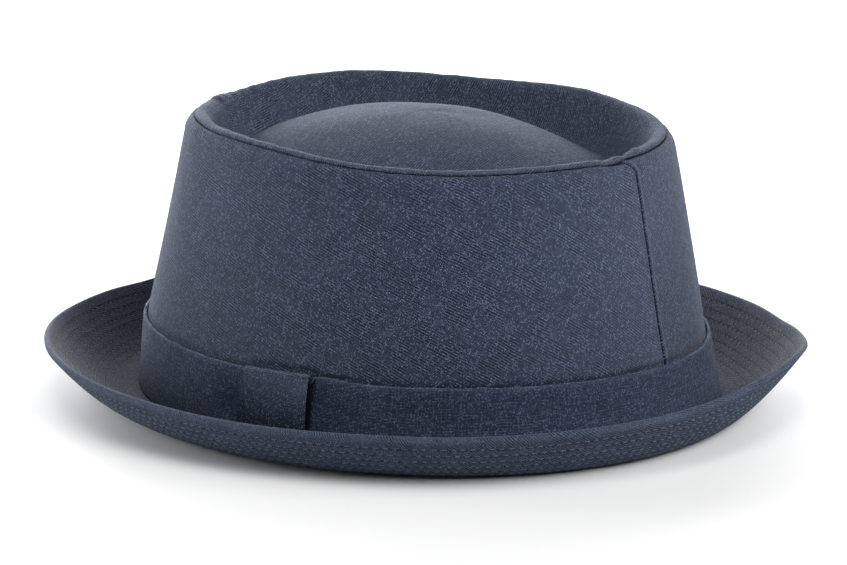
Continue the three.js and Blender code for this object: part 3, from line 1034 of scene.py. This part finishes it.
def brimMiddle(angle, count=240):
    height = brim["height"] + wavesAt(rimWaves, angle) + dentsAt(rimDents, angle)
    scale = 1 + wavesAt(rimPlanWaves, angle)
    rim = ovalPoint(hat["rim"], angle, height, dentsAt(rimReaches, angle), scale)
    half = brim["thickness"] / 2
    inner = ovalPoint(hat["foot"], angle, half, -hat["clothWall"])
    flat = ovalPoint(hat["foot"], angle, half, brim["flat"])
    curve = brim["curve"] + dentsAt(brimCurveChanges, angle)
    rows = [blendPoints(inner, flat, share) for share in np.linspace(0, 1, 40)[:-1]]
    for share in np.linspace(0, 1, count - 39):
        row = blendPoints(flat, rim, share)
        row[..., 2] = half + (rim[..., 2] - half) * share**curve
        rows.append(row)
    return np.array(rows)


def brimPlaces():
    near = np.array([-0.95, -0.6, -0.35, -0.15, 0.0, 0.15, 0.35, 0.6, 0.95])
    places = [0.0, 0.6, 1.3, 2.1, 2.7]
    for away in stitchAways:
        places += list(away + near)
    return np.array(places)


def makeBrim():
    angle = np.arange(brim["steps"]) * 360 / brim["steps"]
    dense = brimMiddle(angle)
    lengths = lengthsAlong(dense)
    aways = brimPlaces()
    total = lengths[-1]
    middle = np.empty((len(aways) + brim["innerRows"], angle.size, 3))
    for column in range(angle.size):
        inward = np.linspace(0, total[column] - aways[-1] - 0.5, brim["innerRows"])
        places = np.concatenate([inward, (total[column] - aways)[::-1]])
        for part in range(3):
            middle[:, column, part] = np.interp(places, lengths[:, column], dense[:, column, part])
    up = -sheetNormals(middle)
    fromRim = lengthsAlong(middle)[-1] - lengthsAlong(middle)
    groove = sum(bell(fromRim, brim["grooveHalfWidth"], away) for away in stitchAways)
    soft = unevenOver(angle, fromRim, 41, 16, 30, 24.0)
    onFloor = smoothStep(fromRim, 18, 30)
    puff = brim["puff"] * soft * (1 - onFloor)
    half = brim["thickness"] / 2 - brim["grooveDepth"] * groove
    under = middle - up * (half - puff)[..., None]
    upper = middle + up * (half + puff)[..., None]
    along = middle[-1] - middle[-2]
    along = along / np.linalg.norm(along, axis=-1, keepdims=True)
    edge = roundedEdge(under[-1], upper[-1], along, brim["edgeRound"], brim["edgeRows"])
    rows = np.concatenate([under, np.array(edge), upper[::-1]])

    # Flat places: the crown's foot, and outward from it by the length of cloth, on over the edge
    foot = ovalPoint(hat["foot"], angle, 0.0)[None, :, :2]
    inner = lengthsAlong(middle)
    onward = lengthsAlong(np.concatenate([under[-1:], np.array(edge), upper[-1:]]))
    reach = np.concatenate([inner, inner[-1] + onward[1:-1], inner[::-1] + onward[-1]])
    flat = foot + reach[..., None] * outwardAt(angle)[None, :, :2]
    cloth = np.concatenate([flat, flat[:, :1]], axis=1)
    # Painted shade in the stitch grooves, and a painted highlight along the rounded edge
    shade = brim["grooveDark"] * groove
    shade = shade + brim["edgePale"] * bell(fromRim, brim["edgePaleSpread"])
    edgeShade = np.full((brim["edgeRows"], angle.size), brim["edgePale"])
    paintedShade = np.concatenate([shade, edgeShade, shade[::-1]])
    material = makeLinen("linen_brim", {**linenLook, **brim["look"]})
    # The upper face takes a warmer second colour: painted sheen
    paintedSheenFace = np.repeat([0.0, 1.0], [len(under) + 4, len(upper) + 3])[:, None] * np.ones(angle.size)
    piece = makeCloth("brim_cloth", rows, cloth, paintedShade, material, ring=True, other=paintedSheenFace)
    finishPiece(piece, "brim")

    # The stitch lines lie in the grooves of both faces
    picked = [int(np.argmin(np.abs(fromRim[:, 0] - away))) for away in stitchAways]
    out = up[picked]
    lift = out * stitch["lift"]
    makeStitches("brim_topstitch_upper", upper[picked] + lift, out, stitch["upper"])
    makeStitches("brim_topstitch_under", under[picked] - lift, -out, stitch["under"])


# Stitches

stitch = {
    "spacing": 3.0,
    "length": 2.0,
    "width": 0.42,
    "height": 0.4,
    "lift": 0.08,
    "upper": {"colour": (0.15, 0.135, 0.122, 1.0), "seed": 3},
    "under": {"colour": (0.13, 0.16, 0.215, 1.0), "seed": 8},
}


def makeThread(name, colour):
    material, w = newMaterial(name)
    place = w.add("ShaderNodeTexCoord").outputs["Object"]
    strands = w.noise(place, 1500.0, 2.0).outputs[0]
    tone = w.range(strands, 0.3, 0.7, 0.6, 1.3)
    bump = w.add("ShaderNodeBump", None, {"Strength": 0.5, "Distance": 0.0001, "Height": strands})
    inputs = {"Base Color": w.vector("SCALE", colour[:3], scale=tone), "Normal": bump.outputs[0]}
    inputs |= {"Roughness": 0.7, "Specular IOR Level": 0.25}
    w.shine(inputs)
    return material


def makeStitchTree():
    tree = bpy.data.node_groups.new("stitch_rows", "GeometryNodeTree")
    tree.interface.new_socket("Geometry", in_out="INPUT", socket_type="NodeSocketGeometry")
    for name in ("Spacing", "Length", "Width", "Height"):
        tree.interface.new_socket(name, in_out="INPUT", socket_type="NodeSocketFloat")
    tree.interface.new_socket("Seed", in_out="INPUT", socket_type="NodeSocketInt")
    tree.interface.new_socket("Material", in_out="INPUT", socket_type="NodeSocketMaterial")
    tree.interface.new_socket("Geometry", in_out="OUTPUT", socket_type="NodeSocketGeometry")
    add = Weaver(tree).add
    given = add("NodeGroupInput").outputs
    curve = add("GeometryNodeMeshToCurve", None, {"Mesh": given["Geometry"]}).outputs[0]
    settings = {"mode": "LENGTH"}
    curve = add("GeometryNodeResampleCurve", settings, {"Curve": curve, "Length": given["Spacing"]})
    settings = {"data_type": "FLOAT_VECTOR"}
    outward = add("GeometryNodeInputNamedAttribute", settings, {"Name": "outward"}).outputs[0]
    along = add("GeometryNodeInputTangent").outputs[0]
    settings = {"primary_axis": "X", "secondary_axis": "Z"}
    turn = add("FunctionNodeAxesToRotation", settings, {0: along, 1: outward}).outputs[0]
    inputs = {"Segments": 6, "Rings": 5, "Radius": 0.5}
    bead = add("GeometryNodeMeshUVSphere", None, inputs).outputs[0]
    inputs = {"X": given["Length"], "Y": given["Width"], "Z": given["Height"]}
    size = add("ShaderNodeCombineXYZ", None, inputs).outputs[0]
    thread = add("GeometryNodeTransform", None, {"Geometry": bead, "Scale": size}).outputs[0]
    inputs = {0: (0.8, 0.8, 0.8), 1: (1.15, 1.1, 1.1), "Seed": given["Seed"]}
    uneven = add("FunctionNodeRandomValue", {"data_type": "FLOAT_VECTOR"}, inputs).outputs[0]
    inputs = {"Points": curve.outputs[0], "Instance": thread, "Rotation": turn, "Scale": uneven}
    placed = add("GeometryNodeInstanceOnPoints", None, inputs).outputs[0]
    solid = add("GeometryNodeRealizeInstances", None, {"Geometry": placed}).outputs[0]
    inputs = {"Geometry": solid, "Material": given["Material"]}
    coloured = add("GeometryNodeSetMaterial", None, inputs).outputs[0]
    add("NodeGroupOutput", None, {0: coloured})
    return tree


# Stitches along closed lines on the cloth, with the way out of the cloth at each point
def makeStitches(name, lines, outward, look):
    count, around = lines.shape[:2]
    here = np.arange(count * around).reshape(count, around)
    edges = np.stack([here, np.roll(here, -1, axis=1)], -1).reshape(-1, 2)
    guide = bpy.data.meshes.new(name + "_lines")
    guide.from_pydata((lines.reshape(-1, 3) * toMetres).tolist(), edges.tolist(), [])
    ways = guide.attributes.new("outward", "FLOAT_VECTOR", "POINT")
    ways.data.foreach_set("vector", outward.astype(np.float32).ravel())
    holder = bpy.data.objects.new(name + "_lines", guide)
    bpy.context.scene.collection.objects.link(holder)
    tree = makeStitchTree()
    measures = ("spacing", "length", "width", "height")
    values = {key.capitalize(): stitch[key] * toMetres for key in measures}
    values |= {"Seed": look["seed"], "Material": makeThread(name + "_thread", look["colour"])}
    modifier = holder.modifiers.new("stitch_rows", "NODES")
    modifier.node_group = tree
    for item in tree.interface.items_tree:
        if item.in_out == "INPUT" and item.name in values:
            modifier[item.identifier] = values[item.name]
    made = holder.evaluated_get(bpy.context.evaluated_depsgraph_get())
    mesh = bpy.data.meshes.new_from_object(made)
    mesh.name = name
    mesh.shade_smooth()
    bpy.data.objects.remove(holder)
    bpy.data.meshes.remove(guide)
    piece = addPiece(name, mesh)
    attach(piece, "root")


makeBrim()
print("cloth made")

# Floor, light and camera

stage = {
    "floorColour": (0.96, 0.96, 0.96, 1),
    "world": 0.06,
    "softboxAway": 1.7,
    "softboxSize": 0.8,
    "softboxAim": 0.05,
    "target": (0.0, 0.00035, 0.0363),
    "camera": (1.0095, 0.6529, 0.3402),
    "lens": 157.0,
    "sensor": 36,
    "floorSize": 60,
    "floorRoughness": 0.9,
    "farthest": 100,
}

bpy.ops.mesh.primitive_plane_add(size=stage["floorSize"])
floor = bpy.context.object
floor.name = "floor"
paper = bpy.data.materials.new("floor_paper")
paper.use_nodes = True
paperShader = paper.node_tree.nodes["Principled BSDF"]
paperShader.inputs["Base Color"].default_value = stage["floorColour"]
paperShader.inputs["Roughness"].default_value = stage["floorRoughness"]
floor.data.materials.append(paper)

world = bpy.data.worlds.new("studio")
world.use_nodes = True
world.node_tree.nodes["Background"].inputs[0].default_value = (1, 1, 1, 1)
world.node_tree.nodes["Background"].inputs[1].default_value = stage["world"]
bpy.context.scene.world = world


def addSoftbox(name, turn, rise, power):
    lamp = bpy.data.lights.new(name, "AREA")
    lamp.size = stage["softboxSize"]
    lamp.energy = power
    holder = bpy.data.objects.new(name, lamp)
    flat = stage["softboxAway"] * np.cos(np.radians(rise))
    up = stage["softboxAway"] * np.sin(np.radians(rise))
    aim = Vector((0, 0, stage["softboxAim"]))
    turned = np.radians(turn)
    place = aim + Vector((flat * np.cos(turned), flat * np.sin(turned), up))
    holder.location = place
    holder.rotation_euler = (place - aim).to_track_quat("Z", "Y").to_euler()
    holder.visible_camera = False
    bpy.context.scene.collection.objects.link(holder)


# Right of the camera's view is towards the back of the hat, left is towards its front
softboxes = [
    # Name, turn from the wearer's left, rise over the floor, power
    ("right", 76, 36, 19.0),
    ("right_behind", 112, 34, 8.0),
    ("camera_side", 26, 62, 7.5),
    ("left", 290, 8, 20.0),
    ("left_behind", 260, 8, 18.0),
    ("behind_left", 230, 8, 58.0),
    ("behind", 200, 8, 35.0),
]
for name, turn, rise, power in softboxes:
    addSoftbox("softbox_" + name, turn, rise, power)

camera = bpy.data.cameras.new("camera")
camera.lens = stage["lens"]
camera.sensor_width = stage["sensor"]
camera.clip_end = stage["farthest"]
holder = bpy.data.objects.new("camera", camera)
holder.location = stage["camera"]
direction = Vector(stage["target"]) - Vector(stage["camera"])
holder.rotation_euler = direction.to_track_quat("-Z", "Y").to_euler()
bpy.context.scene.collection.objects.link(holder)
bpy.context.scene.camera = holder
bpy.context.scene.view_settings.view_transform = "Standard"
print("stage made")
